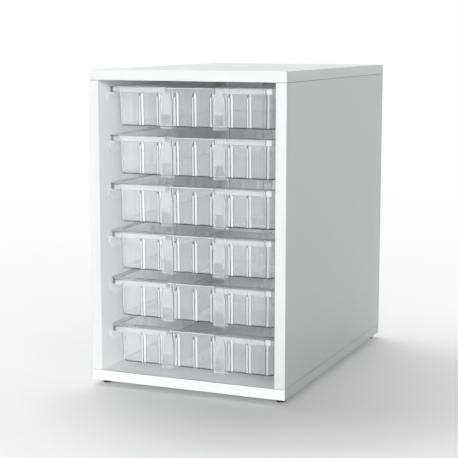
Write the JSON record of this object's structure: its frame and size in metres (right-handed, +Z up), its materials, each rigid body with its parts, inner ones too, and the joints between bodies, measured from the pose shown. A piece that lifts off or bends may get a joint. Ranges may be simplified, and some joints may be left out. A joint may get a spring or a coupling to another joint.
{
  "type": "classroom tray storage unit",
  "caption": "Free-standing white board cabinet, open at the front, whose clear ribbed trays slide out on side runners to store classroom material.",
  "frame": {"origin": "on the floor, in the middle of the footprint", "axes": "+Z up; the open front faces -Y, so +Y points to the back panel; +X to the right seen from the front"},
  "size_m": [0.353, 0.538, 0.541],
  "materials": {
    "board": "white melamine-coated board, fine satin grain",
    "edging": "white plastic edging, satin",
    "dowel": "fluted beech, unfinished",
    "runner": "white moulded plastic, satin",
    "tray": "clear moulded plastic, glossy",
    "glide": "black moulded plastic, matt"
  },
  "bodies": {
    "carcass": {"top_panel": "board", "bottom_panel": "board", "left_side_panel": "board", "right_side_panel": "board", "back_panel": "board", "top_front_edging": "edging", "top_left_edging": "edging", "top_right_edging": "edging", "bottom_front_edging": "edging", "bottom_left_edging": "edging", "bottom_right_edging": "edging", "left_front_edging": "edging", "right_front_edging": "edging", "top_left_dowel_1": "dowel", "top_left_dowel_2": "dowel", "top_left_dowel_3": "dowel", "top_left_dowel_4": "dowel", "top_right_dowel_1": "dowel", "top_right_dowel_2": "dowel", "top_right_dowel_3": "dowel", "top_right_dowel_4": "dowel", "bottom_left_dowel_1": "dowel", "bottom_left_dowel_2": "dowel", "bottom_left_dowel_3": "dowel", "bottom_left_dowel_4": "dowel", "bottom_right_dowel_1": "dowel", "bottom_right_dowel_2": "dowel", "bottom_right_dowel_3": "dowel", "bottom_right_dowel_4": "dowel", "left_runner_1": "runner", "left_runner_2": "runner", "left_runner_3": "runner", "left_runner_4": "runner", "left_runner_5": "runner", "left_runner_6": "runner", "right_runner_1": "runner", "right_runner_2": "runner", "right_runner_3": "runner", "right_runner_4": "runner", "right_runner_5": "runner", "right_runner_6": "runner", "front_left_glide": "glide", "rear_left_glide": "glide", "front_right_glide": "glide", "rear_right_glide": "glide"},
    "tray_1": {"tray_1": "tray"},
    "tray_2": {"tray_2": "tray"},
    "tray_3": {"tray_3": "tray"},
    "tray_4": {"tray_4": "tray"},
    "tray_5": {"tray_5": "tray"},
    "tray_6": {"tray_6": "tray"}
  },
  "joints": [
    {"name": "tray_1_slide", "type": "slide", "parent": "carcass", "child": "tray_1", "axis": [0, -1, 0], "range_m": [0, 0.4]},
    {"name": "tray_2_slide", "type": "slide", "parent": "carcass", "child": "tray_2", "axis": [0, -1, 0], "range_m": [0, 0.4]},
    {"name": "tray_3_slide", "type": "slide", "parent": "carcass", "child": "tray_3", "axis": [0, -1, 0], "range_m": [0, 0.4]},
    {"name": "tray_4_slide", "type": "slide", "parent": "carcass", "child": "tray_4", "axis": [0, -1, 0], "range_m": [0, 0.4]},
    {"name": "tray_5_slide", "type": "slide", "parent": "carcass", "child": "tray_5", "axis": [0, -1, 0], "range_m": [0, 0.4]},
    {"name": "tray_6_slide", "type": "slide", "parent": "carcass", "child": "tray_6", "axis": [0, -1, 0], "range_m": [0, 0.4]}
  ]
}
